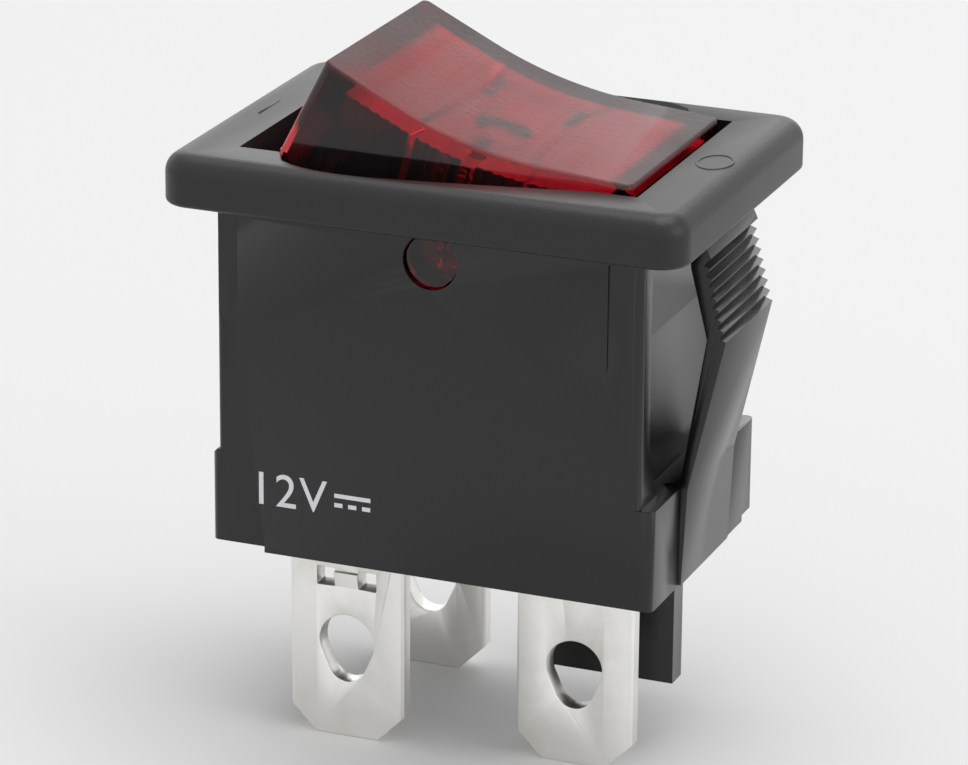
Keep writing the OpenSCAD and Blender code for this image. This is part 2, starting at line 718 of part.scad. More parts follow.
module resistor() color("#7fa3b8") tilted() {
  cap = 0.75;
  waist_r = resistor_r - 0.12;
  translate([resistor_x, led_y, resistor_z]) rotate([0, 90, 0]) {
    for (z = [0, resistor_l - cap]) translate([0, 0, z]) cylinder(h = cap, r = resistor_r, $fn = fine);
    cylinder(h = resistor_l, r = waist_r, $fn = fine);
  }
}

module resistor_lead() color("#b9bbbf") tilted() {
  start_x = resistor_x + resistor_l;
  across_x = start_x + lead_r + 0.1;
  rub_y = load_at[1] - half_tab - lead_r - 0.02;
  down_x = 2;
  wire(rounded([[start_x, led_y - 0.3, resistor_z], [across_x, led_y - 0.3, resistor_z],
    [across_x, rub_y, resistor_z], [down_x, rub_y, resistor_z], [down_x, rub_y, wiper_z]], 0.3),
    lead_r, lead_sides, [0.4, 0.5, 1]);
}

housing();
rocker();
supply_terminal();
load_terminal();
lamp_terminal();
seesaw_contact();
moving_contact_rivet();
fixed_contact_rivet();
plunger();
plunger_spring();
led_lamp();
led_cathode_lead();
led_anode_lead();
resistor();
resistor_lead();
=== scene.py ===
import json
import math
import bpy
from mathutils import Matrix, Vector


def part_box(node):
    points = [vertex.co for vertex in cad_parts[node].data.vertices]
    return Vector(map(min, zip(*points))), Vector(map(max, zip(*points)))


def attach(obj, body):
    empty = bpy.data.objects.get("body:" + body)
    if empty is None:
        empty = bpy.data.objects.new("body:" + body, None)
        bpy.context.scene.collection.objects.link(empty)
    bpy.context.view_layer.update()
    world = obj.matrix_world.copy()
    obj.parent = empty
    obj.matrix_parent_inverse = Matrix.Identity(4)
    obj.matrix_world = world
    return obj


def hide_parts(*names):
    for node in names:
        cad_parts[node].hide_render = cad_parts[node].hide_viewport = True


bl_info = {
    "name": "Illuminated Rocker Switch",
    "version": (1, 0, 0),
    "blender": (4, 5, 0),
    "location": "3D View > Sidebar > Rocker Switch",
    "description": "Finishes a snap-in rocker switch with a lit lens, ratchet clips and silver tabs",
    "category": "Object",
}

import bmesh
import bpy
from bpy.props import FloatProperty, FloatVectorProperty, IntProperty, PointerProperty, StringProperty
from mathutils import Matrix, Vector

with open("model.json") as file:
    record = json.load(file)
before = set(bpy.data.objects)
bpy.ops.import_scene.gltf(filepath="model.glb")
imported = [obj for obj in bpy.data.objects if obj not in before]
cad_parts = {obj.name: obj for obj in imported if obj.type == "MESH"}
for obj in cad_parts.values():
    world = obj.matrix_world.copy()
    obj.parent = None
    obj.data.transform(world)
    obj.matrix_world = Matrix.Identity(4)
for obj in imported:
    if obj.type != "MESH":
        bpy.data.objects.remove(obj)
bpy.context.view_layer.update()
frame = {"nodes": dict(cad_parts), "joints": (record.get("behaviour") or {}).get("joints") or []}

MM = 0.001
# The rocker's hinge in the row frame, and the tilt of its rest from level
HINGE = next(j for j in frame["joints"] if j["name"] == "rocker_tilt")
PIVOT = Vector(HINGE["pos_m"])
REST_TILT = math.radians(HINGE["range_deg"][1] / 2)
TO_PIVOT = Matrix.Translation(PIVOT)
LEVEL_TO_REST = TO_PIVOT @ Matrix.Rotation(REST_TILT, 4, "Y") @ TO_PIVOT.inverted()
BEZEL_TOP = 2.0 * MM
# The rocker's top, level and in mm: half length, height of the dish's middle and radius of the dish
CROWN_X, DISH_Z, DISH_R = 6.39, 3.25, 16.7
# Slope of the flats beside the dish, and the drafts of the rocker's end and long walls
FLAT_SLOPE, END_DRAFT, SIDE_DRAFT = (math.radians(a) for a in (10.5, 11.0, 2.3))
# Half width of the rocker's foot and its height, in mm
FOOT_Y, FOOT_Z = 5.15, -2.0
BODY_FRONT = -5.8 * MM
TIP_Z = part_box("supply_terminal")[0].z


# ---- small helpers ----
def colour_property(name, description, value):
    return FloatVectorProperty(
        name=name, description=description, default=value, size=4, min=0.0, max=1.0, subtype="COLOR"
    )


def length_property(name, description, value, top=0.05):
    return FloatProperty(
        name=name, description=description, default=value, min=0.0, max=top, precision=5, unit="LENGTH"
    )


def factor_property(name, description, value):
    return FloatProperty(
        name=name, description=description, default=value, min=0.0, max=1.0, subtype="FACTOR"
    )


def angle_property(name, description, degrees):
    return FloatProperty(
        name=name, description=description, default=math.radians(degrees), subtype="ANGLE"
    )


def settings(context):
    return context.scene.rocker_switch


def link(obj):
    bpy.context.scene.collection.objects.link(obj)
    return obj


def mesh_object(name, bm):
    mesh = bpy.data.meshes.new(name)
    bm.to_mesh(mesh)
    bm.free()
    return link(bpy.data.objects.new(name, mesh))


def baked(obj):
    """The object with its modifiers turned into plain mesh."""
    bpy.context.view_layer.update()
    depsgraph = bpy.context.evaluated_depsgraph_get()
    mesh = bpy.data.meshes.new_from_object(obj.evaluated_get(depsgraph), depsgraph=depsgraph)
    obj.modifiers.clear()
    obj.data = mesh
    mesh.name = obj.name
    return obj


def dress(obj, body, material, replaced=()):
    """Gives a finished piece its material and its body, and hides the nodes that it replaces."""
    obj.data.materials.clear()
    obj.data.materials.append(material)
    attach(obj, body)
    if replaced:
        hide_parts(*replaced)
    return obj


def merged_copy(node):
    """A copy of a CAD node's mesh with its loose triangles joined and its flat faces whole."""
    bm = bmesh.new()
    bm.from_mesh(frame["nodes"][node].data)
    bmesh.ops.remove_doubles(bm, verts=bm.verts, dist=0.0005 * MM)
    bmesh.ops.dissolve_limit(bm, angle_limit=math.radians(0.4), verts=bm.verts, edges=bm.edges)
    return bm


def softened(bm, name, width, angle=28.0):
    """A rigid shape whose edges have the small radius that moulding or stamping leaves."""
    for face in bm.faces:
        face.smooth = True
    obj = mesh_object(name, bm)
    modifier = obj.modifiers.new("Edge radius", "BEVEL")
    modifier.width = width
    modifier.segments = 2
    modifier.limit_method = "ANGLE"
    modifier.angle_limit = math.radians(angle)
    modifier.use_clamp_overlap = True
    modifier.miter_outer = "MITER_ARC"
    modifier.harden_normals = True
    return baked(obj)


def mark_creases(bm):
    """Keeps the shallow creases across the snap-in arms sharp."""
    bm.normal_update()
    for edge in bm.edges:
        a, b = (v.co for v in edge.verts)
        along = (b - a).normalized()
        outside = min(abs(a.x), abs(b.x)) > 8.6 * MM and max(a.z, b.z) < -0.3 * MM
        if outside and abs(along.y) > 0.99 and edge.calc_face_angle(0.0) > math.radians(6.0):
            edge.smooth = False


# ---- shader building ----
class Shader:
    """A material's node tree with short calls to add and join nodes."""

    def __init__(self, name):
        self.material = bpy.data.materials.new(name)
        self.material.use_nodes = True
        self.tree = self.material.node_tree
        self.tree.nodes.clear()
        self.output = self.add("ShaderNodeOutputMaterial")
        self.principled = self.add("ShaderNodeBsdfPrincipled")
        self.join(self.principled.outputs["BSDF"], self.output.inputs["Surface"])
        self.object_coords = self.add("ShaderNodeTexCoord").outputs["Object"]

    def add(self, kind, **values):
        node = self.tree.nodes.new(kind)
        for key, value in values.items():
            own = getattr(node, key, None)
            if isinstance(own, bpy.types.bpy_prop_collection) or not hasattr(node, key):
                node.inputs[key].default_value = value
            else:
                setattr(node, key, value)
        return node

    def join(self, start, end):
        self.tree.links.new(start, end)

    def set(self, **values):
        for key, value in values.items():
            self.principled.inputs[key.replace("_", " ")].default_value = value

    def use(self, group, **values):
        node = self.tree.nodes.new("ShaderNodeGroup")
        node.node_tree = group
        for key, value in values.items():
            node.inputs[key.replace("_", " ")].default_value = value
        if "Coordinates" in node.inputs:
            self.join(self.object_coords, node.inputs["Coordinates"])
        return node


def new_group(name, inputs, outputs):
    """A shader node group with named sockets, and its input and output nodes."""
    group = bpy.data.node_groups.new(name, "ShaderNodeTree")
    for kind, label, value in inputs:
        socket = group.interface.new_socket(name=label, in_out="INPUT", socket_type=kind)
        if value is not None:
            socket.default_value = value
    for kind, label in outputs:
        group.interface.new_socket(name=label, in_out="OUTPUT", socket_type=kind)
    return group, group.nodes.new("NodeGroupInput"), group.nodes.new("NodeGroupOutput")


def group_node(group, kind, inputs=None, **values):
    node = group.nodes.new(kind)
    for key, value in values.items():
        setattr(node, key, value)
    for key, value in (inputs or {}).items():
        if isinstance(value, bpy.types.NodeSocket):
            group.links.new(value, node.inputs[key])
        else:
            node.inputs[key].default_value = value
    return node


SURFACE_OUTPUTS = [
    ("NodeSocketColor", "Colour"),
    ("NodeSocketFloat", "Roughness"),
    ("NodeSocketVector", "Normal"),
]


def moulded_grain():
    """Fine spark-eroded grain of a mould, with slow changes in gloss and a few pale specks of dust."""
    name = "Moulded grain"
    if name in bpy.data.node_groups:
        return bpy.data.node_groups[name]
    group, start, end = new_group(
        name,
        [
            ("NodeSocketVector", "Coordinates", None),
            ("NodeSocketFloat", "Grain size", 9000.0),
            ("NodeSocketFloat", "Grain depth", 0.1),
            ("NodeSocketFloat", "Roughness", 0.5),
            ("NodeSocketFloat", "Gloss change", 0.1),
            ("NodeSocketColor", "Colour", (0.02, 0.02, 0.02, 1.0)),
            ("NodeSocketColor", "Dust colour", (0.3, 0.3, 0.29, 1.0)),
            ("NodeSocketFloat", "Dust", 0.3),
        ],
        SURFACE_OUTPUTS,
    )
    sockets = start.outputs
    grain = group_node(
        group, "ShaderNodeTexNoise",
        {"Vector": sockets["Coordinates"], "Scale": sockets["Grain size"], "Detail": 3.0},
    )
    bump = group_node(
        group, "ShaderNodeBump",
        {"Strength": sockets["Grain depth"], "Distance": 0.00002, "Height": grain.outputs["Fac"]},
    )
    slow = group_node(
        group, "ShaderNodeTexNoise", {"Vector": sockets["Coordinates"], "Scale": 260.0, "Detail": 4.0}
    )
    spread = group_node(
        group, "ShaderNodeMath", {0: slow.outputs["Fac"], 1: 0.5}, operation="SUBTRACT"
    )
    change = group_node(
        group, "ShaderNodeMath",
        {0: spread.outputs[0], 1: sockets["Gloss change"], 2: sockets["Roughness"]},
        operation="MULTIPLY_ADD",
    )
    specks = group_node(
        group, "ShaderNodeTexVoronoi",
        {"Vector": sockets["Coordinates"], "Scale": 420.0, "Randomness": 1.0},
    )
    near = group_node(
        group, "ShaderNodeMapRange",
        {
            "Value": specks.outputs["Distance"],
            "From Min": 0.03, "From Max": 0.06, "To Min": 1.0, "To Max": 0.0,
        },
    )
    rare = group_node(
        group, "ShaderNodeMath", {0: specks.outputs["Color"], 1: 0.93}, operation="GREATER_THAN"
    )
    dust = group_node(
        group, "ShaderNodeMath", {0: near.outputs[0], 1: rare.outputs[0]}, operation="MULTIPLY"
    )
    dust_level = group_node(
        group, "ShaderNodeMath", {0: dust.outputs[0], 1: sockets["Dust"]}, operation="MULTIPLY"
    )
    shade = group_node(
        group, "ShaderNodeMix", {"Factor": dust_level.outputs[0]}, data_type="RGBA"
    )
    group.links.new(sockets["Colour"], shade.inputs[6])
    group.links.new(sockets["Dust colour"], shade.inputs[7])
    group.links.new(shade.outputs[2], end.inputs["Colour"])
    group.links.new(change.outputs[0], end.inputs["Roughness"])
    group.links.new(bump.outputs[0], end.inputs["Normal"])
    return group


def rolled_sheet():
    """Drawn marks of rolled sheet along one axis, with cloudy tarnish and fine scratches."""
    name = "Rolled sheet"
    if name in bpy.data.node_groups:
        return bpy.data.node_groups[name]
    group, start, end = new_group(
        name,
        [
            ("NodeSocketVector", "Coordinates", None),
            ("NodeSocketColor", "Colour", (0.8, 0.8, 0.8, 1.0)),
            ("NodeSocketColor", "Tarnish colour", (0.5, 0.46, 0.38, 1.0)),
            ("NodeSocketFloat", "Tarnish", 0.3),
            ("NodeSocketFloat", "Roughness", 0.3),
            ("NodeSocketFloat", "Marks", 0.1),
        ],
        SURFACE_OUTPUTS,
    )
    sockets = start.outputs
    stretch = group_node(
        group, "ShaderNodeMapping", {"Vector": sockets["Coordinates"], "Scale": (1.0, 1.0, 0.07)}
    )
    marks = group_node(
        group, "ShaderNodeTexNoise", {"Vector": stretch.outputs[0], "Scale": 5200.0, "Detail": 4.0}
    )
    bump = group_node(
        group, "ShaderNodeBump",
        {"Strength": sockets["Marks"], "Distance": 0.00001, "Height": marks.outputs["Fac"]},
    )
    cloud = group_node(
        group, "ShaderNodeTexNoise",
        {"Vector": sockets["Coordinates"], "Scale": 420.0, "Detail": 7.0, "Roughness": 0.62},
    )
    patch = group_node(
        group, "ShaderNodeMapRange",
        {"Value": cloud.outputs["Fac"], "From Min": 0.48, "From Max": 0.75, "To Min": 0.0, "To Max": 1.0},
    )
    level = group_node(
        group, "ShaderNodeMath", {0: patch.outputs[0], 1: sockets["Tarnish"]}, operation="MULTIPLY"
    )
    shade = group_node(group, "ShaderNodeMix", {"Factor": level.outputs[0]}, data_type="RGBA")
    group.links.new(sockets["Colour"], shade.inputs[6])
    group.links.new(sockets["Tarnish colour"], shade.inputs[7])
    rough = group_node(
        group, "ShaderNodeMath", {0: level.outputs[0], 1: 0.35, 2: sockets["Roughness"]},
        operation="MULTIPLY_ADD",
    )
    group.links.new(shade.outputs[2], end.inputs["Colour"])
    group.links.new(rough.outputs[0], end.inputs["Roughness"])
    group.links.new(bump.outputs[0], end.inputs["Normal"])
    return group


def plastic(name, colour, roughness, **values):
    """Moulded plastic: one colour under the mould's grain."""
    shader = Shader(name)
    grain = shader.use(moulded_grain(), Colour=colour, Roughness=roughness, **values)
    shader.join(grain.outputs["Colour"], shader.principled.inputs["Base Color"])
    shader.join(grain.outputs["Roughness"], shader.principled.inputs["Roughness"])
    shader.join(grain.outputs["Normal"], shader.principled.inputs["Normal"])
    return shader


def sheet_metal(name, colour, tarnish_colour, roughness, tarnish, marks):
    shader = Shader(name)
    sheet = shader.use(
        rolled_sheet(), Colour=colour, Tarnish_colour=tarnish_colour,
        Roughness=roughness, Tarnish=tarnish, Marks=marks,
    )
    shader.set(Metallic=1.0)
    for socket, target in (("Colour", "Base Color"), ("Roughness", "Roughness"), ("Normal", "Normal")):
        shader.join(sheet.outputs[socket], shader.principled.inputs[target])
    return shader.material


# ---- settings ----
class HousingSettings(bpy.types.PropertyGroup):
    colour: colour_property("Colour", "Colour of the black nylon", (0.005, 0.005, 0.0052, 1.0))
    roughness: factor_property("Roughness", "Roughness of the grained bezel", 0.4)
    body_roughness: factor_property("Body roughness", "Roughness of the body behind the panel", 0.24)
    grain: factor_property("Grain", "Depth of the bezel's grain", 0.6)
    edge_radius: length_property("Edge radius", "Radius left on the moulded edges", 0.06 * MM, 0.001)


class LensSettings(bpy.types.PropertyGroup):
    colour: colour_property("Colour", "Colour of the tinted polycarbonate", (0.5, 0.008, 0.02, 1.0))
    roughness: factor_property("Roughness", "Roughness of the satin top", 0.45)
    edge_radius: length_property("Edge radius", "Radius of the top's edges", 0.22 * MM, 0.001)
    corner_radius: length_property("Corner radius", "Radius of the upright corners", 0.4 * MM, 0.001)


class TerminalSettings(bpy.types.PropertyGroup):
    colour: colour_property("Colour", "Colour of the silver plating", (0.86, 0.855, 0.83, 1.0))
    tarnish: factor_property("Tarnish", "Amount of dull and yellowed plating", 0.35)
    roughness: factor_property("Roughness", "Roughness of the plating", 0.34)
    edge_radius: length_property("Edge radius", "Radius that stamping leaves on the edges", 0.04 * MM, 0.001)


class MarkSettings(bpy.types.PropertyGroup):
    line: length_property("Line width", "Width of the raised I and O", 0.1 * MM, 0.001)
    ring_x: length_property("O half length", "Half size of the O along the bezel", 0.66 * MM, 0.002)
    ring_y: length_property("O half width", "Half size of the O across the bezel", 0.93 * MM, 0.002)
    bar: length_property("I length", "Length of the I across the bezel", 1.9 * MM, 0.004)
    letter: length_property("Letter height", "Height of the printed rating", 1.35 * MM, 0.004)
    rating: StringProperty(name="Rating", description="Plain voltage rating on the front", default="12V")
    ink: colour_property("Ink", "Colour of the pad print", (0.78, 0.79, 0.84, 1.0))


class SpringSettings(bpy.types.PropertyGroup):
    turns: IntProperty(name="Turns", description="Turns of the plunger's spring", default=9, min=3, max=20)
    wire: length_property("Wire radius", "Radius of the spring's wire", 0.1 * MM, 0.001)
    radius: length_property("Coil radius", "Radius of the coil to the wire's centre", 0.54 * MM, 0.002)


class StageSettings(bpy.types.PropertyGroup):
    azimuth: angle_property("Azimuth", "Direction of the camera", 21.694)
    elevation: angle_property("Elevation", "Height of the camera", 19.67)
    roll: angle_property("Roll", "Roll of the camera", 0.513)
    distance: length_property("Distance", "Distance of the camera from the origin", 187.34 * MM, 10.0)
    lens: FloatProperty(
        name="Lens", description="Focal length on a 36 mm sensor", default=182.2, unit="CAMERA"
    )
    aim_x: FloatProperty(
        name="Aim across", description="Aim beside the origin", default=-0.150 * MM, unit="LENGTH"
    )
    aim_y: FloatProperty(
        name="Aim up", description="Aim above the origin", default=-7.592 * MM, unit="LENGTH"
    )
    floor: colour_property("Floor", "Colour of the floor", (0.82, 0.82, 0.82, 1.0))
    world: FloatProperty(
        name="World light", description="Strength of the surrounding light", default=0.55, min=0.0
    )


class RockerSwitchSettings(bpy.types.PropertyGroup):
    housing: PointerProperty(type=HousingSettings)
    lens: PointerProperty(type=LensSettings)
    terminals: PointerProperty(type=TerminalSettings)
    marks: PointerProperty(type=MarkSettings)
    spring: PointerProperty(type=SpringSettings)
    stage: PointerProperty(type=StageSettings)


# ---- operators ----
class SWITCH_OT_housing(bpy.types.Operator):
    """Make the one-piece housing: bezel, body, ratchet arms and barrier fin"""

    bl_idname = "switch.housing"
    bl_label = "Housing"

    def execute(self, context):
        values = settings(context).housing
        shader = nylon(values)
        bm = merged_copy("housing")
        mark_creases(bm)
        obj = softened(bm, "moulded_housing", values.edge_radius)
        dress(obj, "base", shader.material, ["housing"])
        return {"FINISHED"}


def nylon(values):
    """Black nylon: grained on the bezel, smoother on the body behind the panel."""
    shader = Shader("Black nylon")
    axes = shader.add("ShaderNodeSeparateXYZ")
    shader.join(shader.object_coords, axes.inputs[0])
    bezel = shader.add("ShaderNodeMapRange")
    bezel.inputs["From Min"].default_value = -0.2 * MM
    bezel.inputs["From Max"].default_value = 0.1 * MM
    shader.join(axes.outputs["Z"], bezel.inputs["Value"])
    rough = shader.add("ShaderNodeMapRange")
    rough.inputs["To Min"].default_value = values.body_roughness
    rough.inputs["To Max"].default_value = values.roughness
    shader.join(bezel.outputs[0], rough.inputs["Value"])
    depth = shader.add("ShaderNodeMapRange")
    depth.inputs["To Min"].default_value = values.grain * 0.2
    depth.inputs["To Max"].default_value = values.grain
    shader.join(bezel.outputs[0], depth.inputs["Value"])
    grain = shader.use(moulded_grain(), Colour=values.colour)
    shader.join(rough.outputs[0], grain.inputs["Roughness"])
    shader.join(depth.outputs[0], grain.inputs["Grain depth"])
    shader.join(grain.outputs["Colour"], shader.principled.inputs["Base Color"])
    shader.join(grain.outputs["Roughness"], shader.principled.inputs["Roughness"])
    shader.join(grain.outputs["Normal"], shader.principled.inputs["Normal"])
    return shader


class SWITCH_OT_lens(bpy.types.Operator):
    """Make the tinted rocker with its rounded top edge and fluted inside"""

    bl_idname = "switch.lens"
    bl_label = "Rocker lens"

    def execute(self, context):
        values = settings(context).lens
        obj = mesh_object("rocker_lens", merged_copy("rocker"))
        place = Matrix.Scale(1.0 / MM, 4) @ LEVEL_TO_REST.inverted()
        obj.data.transform(place)
        carve(obj, edge_waste(values))
        obj.data.transform(place.inverted())
        mark_satin_top(obj)
        dress(obj, "rocker_body", lens_material(values), ["rocker"])
        return {"FINISHED"}


def top_height(x):
    """Height of the rocker's dished top at a distance from its middle, level and in mm."""
    start = DISH_R * math.sin(FLAT_SLOPE)
    if abs(x) < start:
        return DISH_Z + DISH_R - math.sqrt(DISH_R**2 - x * x)
    return DISH_Z + DISH_R * (1 - math.cos(FLAT_SLOPE)) + (abs(x) - start) * math.tan(FLAT_SLOPE)


def half_outline(z, corner, stations=60):
    """One long side of the rocker's drafted outline at a height: places and outward directions."""
    end = CROWN_X + (top_height(CROWN_X) - z) * math.tan(END_DRAFT)
    side = FOOT_Y - (z - FOOT_Z) * math.tan(SIDE_DRAFT)
    turn = [math.radians(a) for a in range(0, 91, 10)]
    facing = [(-math.cos(a), math.sin(a)) for a in turn]
    left = [(corner - end + corner * nx, side - corner + corner * ny, nx, ny) for nx, ny in facing]
    right = [(-x, y, -nx, ny) for x, y, nx, ny in reversed(left)]
    reach = end - corner
    middle = [(reach * (2 * i / stations - 1), side, 0.0, 1.0) for i in range(1, stations)]
    return left + middle + right


def rounded_block(values):
    """The rocker's outside as a solid with round upper edges and corners, level and in mm."""
    skin = 0.002
    radius, corner = values.edge_radius / MM, values.corner_radius / MM
    steps = [math.radians(a) for a in (0, 15, 30, 45, 60, 75, 90)]
    rings = []
    for k in range(len(steps) + 1):
        ring = []
        for i, place in enumerate(half_outline(3.5, corner)):
            level = -3.0 if k == 0 else top_height(place[0]) - radius * (1 - math.sin(steps[k - 1]))
            x, y, nx, ny = half_outline(level, corner)[i]
            inset = skin - (radius * (1 - math.cos(steps[k - 1])) if k else 0.0)
            ring.append((x + inset * nx, y + inset * ny, level + (skin if k else 0.0)))
        rings.append(ring)
    bm = bmesh.new()
    loops = []
    for ring in rings:
        near = [bm.verts.new(p) for p in ring]
        far = [bm.verts.new((x, -y, z)) for x, y, z in ring]
        loops.append(near + far[::-1])
    count = len(loops[0])
    for a, b in zip(loops, loops[1:]):
        for i in range(count):
            bm.faces.new((a[i], a[(i + 1) % count], b[(i + 1) % count], b[i]))
    for loop in (loops[0], loops[-1]):
        for i in range(count // 2 - 1):
            bm.faces.new((loop[i], loop[i + 1], loop[count - 2 - i], loop[count - 1 - i]))
    bmesh.ops.recalc_face_normals(bm, faces=bm.faces)
    return mesh_object("rounded_block", bm)


def edge_waste(values):
    """What the rounding of the rocker's upper edges takes away."""
    bm = bmesh.new()
    bmesh.ops.create_cube(bm, size=1.0)
    around = Matrix.Translation((0, 0, 4.15)) @ Matrix.Diagonal((17, 13, 8, 1))
    bmesh.ops.transform(bm, matrix=around, verts=bm.verts)
    waste = mesh_object("edge_waste", bm)
    carve(waste, rounded_block(values))
    return waste


def carve(obj, cutter):
    """Takes the cutter's shape out of the object, and removes the cutter."""
    modifier = obj.modifiers.new("Carve", "BOOLEAN")
    modifier.operation = "DIFFERENCE"
    modifier.solver = "EXACT"
    modifier.object = cutter
    baked(obj)
    bpy.data.objects.remove(cutter)


def mark_satin_top(obj):
    """Smooths the rounded faces, and marks the satin top with an attribute."""
    mesh = obj.data
    mesh.shade_smooth()
    mesh.set_sharp_from_angle(angle=math.radians(20.0))
    to_level = LEVEL_TO_REST.inverted()
    satin = mesh.attributes.new("satin", "FLOAT", "FACE")
    for face, value in zip(mesh.polygons, satin.data):
        on_top = (to_level @ face.center).z > 2.6 * MM
        value.value = 1.0 if on_top and (to_level.to_3x3() @ face.normal).z > 0.3 else 0.0


def lens_material(values):
    """Tinted clear plastic, satin on top and polished on its sides."""
    shader = Shader("Red polycarbonate")
    satin = shader.add("ShaderNodeAttribute", attribute_name="satin")
    grain = shader.use(
        moulded_grain(), Colour=values.colour, Roughness=values.roughness,
        Grain_depth=0.9, Dust=0.12, Gloss_change=0.2,
    )
    shader.join(grain.outputs["Colour"], shader.principled.inputs["Base Color"])
    rough = shader.add("ShaderNodeMapRange")
    rough.inputs["To Min"].default_value = 0.07
    shader.join(satin.outputs["Fac"], rough.inputs["Value"])
    shader.join(grain.outputs["Roughness"], rough.inputs["To Max"])
    shader.join(rough.outputs[0], shader.principled.inputs["Roughness"])
    bump = shader.add("ShaderNodeBump", Distance=0.00003)
    pits = shader.add("ShaderNodeTexNoise", Scale=3800.0, Detail=4.0)
    shader.join(shader.object_coords, pits.inputs["Vector"])
    depth = shader.add("ShaderNodeMath", operation="MULTIPLY")
    shader.join(pits.outputs["Fac"], depth.inputs[0])
    shader.join(satin.outputs["Fac"], depth.inputs[1])
    shader.join(depth.outputs[0], bump.inputs["Height"])
    shader.join(bump.outputs[0], shader.principled.inputs["Normal"])
    shader.set(Transmission_Weight=1.0, IOR=1.5)
    return shader.material


class SWITCH_OT_terminals(bpy.types.Operator):
    """Make the three silver-plated tabs with their stamped edges"""

    bl_idname = "switch.terminals"
    bl_label = "Terminals"

    def execute(self, context):
        values = settings(context).terminals
        material = sheet_metal(
            "Silver plating", values.colour, (0.62, 0.58, 0.47, 1.0), values.roughness, values.tarnish, 0.25
        )
        for node in ("supply_terminal", "load_terminal", "lamp_terminal"):
            obj = softened(merged_copy(node), node.replace("terminal", "tab"), values.edge_radius)
            dress(obj, "base", material, [node])
        return {"FINISHED"}


class SWITCH_OT_contacts(bpy.types.Operator):
    """Finish the see-saw strip, its rivets and the plunger"""

    bl_idname = "switch.contacts"
    bl_label = "Contacts"

    def execute(self, context):
        copper = sheet_metal("Copper strip", (0.72, 0.36, 0.22, 1.0), (0.32, 0.16, 0.1, 1.0), 0.3, 0.5, 0.2)
        silver = sheet_metal("Contact silver", (0.86, 0.85, 0.82, 1.0), (0.45, 0.42, 0.36, 1.0), 0.28, 0.4, 0.1)
        acetal = plastic("Acetal", (0.72, 0.71, 0.66, 1.0), 0.4, Dust=0.0).material
        finishes = {
            "seesaw_contact": copper,
            "moving_contact_rivet": silver,
            "fixed_contact_rivet": silver,
            "plunger": acetal,
        }
        for node, material in finishes.items():
            obj = frame["nodes"][node]
            obj.data.materials.clear()
            obj.data.materials.append(material)
        return {"FINISHED"}


class SWITCH_OT_spring(bpy.types.Operator):
    """Wind the plunger's spring"""

    bl_idname = "switch.spring"
    bl_label = "Plunger spring"

    def execute(self, context):
        values = settings(context).spring
        steel = sheet_metal("Spring wire", (0.56, 0.57, 0.59, 1.0), (0.2, 0.18, 0.16, 1.0), 0.3, 0.3, 0.1)
        foot = PIVOT.z - 2.5 * MM + values.wire + 0.05 * MM
        top = 1.5 * MM - values.wire - 0.05 * MM
        obj = mesh_object("wound_spring", bmesh.new())
        modifier = obj.modifiers.new("Coil", "NODES")
        modifier.node_group = coil_nodes(steel)
        sizes = {
            "Turns": float(values.turns),
            "Coil radius": values.radius,
            "Height": top - foot,
            "Wire radius": values.wire,
        }
        for item in modifier.node_group.interface.items_tree:
            if item.name in sizes:
                modifier[item.identifier] = sizes[item.name]
        baked(obj)
        obj.data.transform(LEVEL_TO_REST @ Matrix.Translation((0.0, -1.3 * MM, foot)))
        obj.data.shade_smooth()
        dress(obj, "rocker_body", steel, ["plunger_spring"])
        return {"FINISHED"}


def coil_nodes(material):
    """Geometry nodes that wind a round wire into a coil."""
    tree = bpy.data.node_groups.new("Wound coil", "GeometryNodeTree")
    tree.interface.new_socket(name="Geometry", in_out="INPUT", socket_type="NodeSocketGeometry")
    sizes = {"Turns": 9.0, "Coil radius": 0.5 * MM, "Height": 5.0 * MM, "Wire radius": 0.1 * MM}
    for label, value in sizes.items():
        socket = tree.interface.new_socket(name=label, in_out="INPUT", socket_type="NodeSocketFloat")
        socket.default_value = value
    tree.interface.new_socket(name="Geometry", in_out="OUTPUT", socket_type="NodeSocketGeometry")
    start, end = tree.nodes.new("NodeGroupInput"), tree.nodes.new("NodeGroupOutput")
    spiral = tree.nodes.new("GeometryNodeCurveSpiral")
    spiral.inputs["Resolution"].default_value = 28
    circle = tree.nodes.new("GeometryNodeCurvePrimitiveCircle")
    circle.inputs["Resolution"].default_value = 12
    sweep = tree.nodes.new("GeometryNodeCurveToMesh")
    sweep.inputs["Fill Caps"].default_value = True
    realize = tree.nodes.new("GeometryNodeRealizeInstances")
    paint = tree.nodes.new("GeometryNodeSetMaterial")
    paint.inputs["Material"].default_value = material
    join = tree.links.new
    join(start.outputs["Turns"], spiral.inputs["Rotations"])
    join(start.outputs["Coil radius"], spiral.inputs["Start Radius"])
    join(start.outputs["Coil radius"], spiral.inputs["End Radius"])
    join(start.outputs["Height"], spiral.inputs["Height"])
    join(start.outputs["Wire radius"], circle.inputs["Radius"])
    join(spiral.outputs["Curve"], sweep.inputs["Curve"])
    join(circle.outputs["Curve"], sweep.inputs["Profile Curve"])
    join(sweep.outputs["Mesh"], realize.inputs["Geometry"])
    join(realize.outputs["Geometry"], paint.inputs["Geometry"])
    join(paint.outputs["Geometry"], end.inputs["Geometry"])
    return tree


